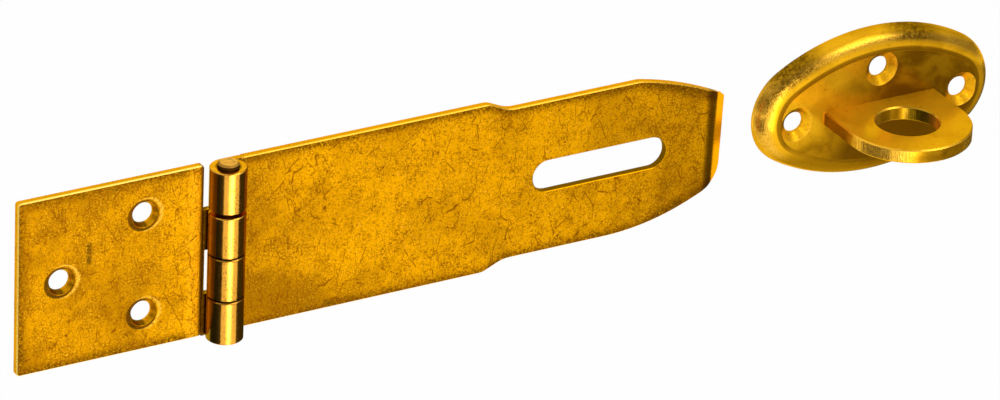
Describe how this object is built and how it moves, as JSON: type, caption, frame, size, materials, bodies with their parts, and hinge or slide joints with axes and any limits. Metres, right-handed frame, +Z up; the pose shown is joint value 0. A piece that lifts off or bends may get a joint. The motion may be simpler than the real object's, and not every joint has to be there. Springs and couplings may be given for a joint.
{
  "type": "padlock hasp",
  "caption": "Hinged sheet-steel hasp with a slotted, blunt-tipped strap and a separate oval staple plate carrying a half-round padlock eye.",
  "frame": {"origin": "on the wall face, midway between the two screw holes beside the hinge", "axes": "+X from the fixed leaf towards the strap's tip, +Y into the wall, +Z up along the hinge pin"},
  "size_m": [0.2363, 0.0306, 0.0415],
  "materials": {
    "yellow_zinc": "yellow passivated zinc plate, satin, finely scratched",
    "pin_steel": "sheared steel rod with thin yellow plating"
  },
  "bodies": {
    "wall_side": {"fixed_leaf": "yellow_zinc", "hinge_pin": "pin_steel", "staple_plate": "yellow_zinc", "staple_eye": "yellow_zinc"},
    "swinging_strap": {"strap": "yellow_zinc"}
  },
  "joints": [
    {"name": "strap_hinge", "type": "hinge", "parent": "wall_side", "child": "swinging_strap", "pos_m": [0.018, -0.004, 0], "axis": [0, 0, -1], "range_deg": [0, 180]}
  ]
}
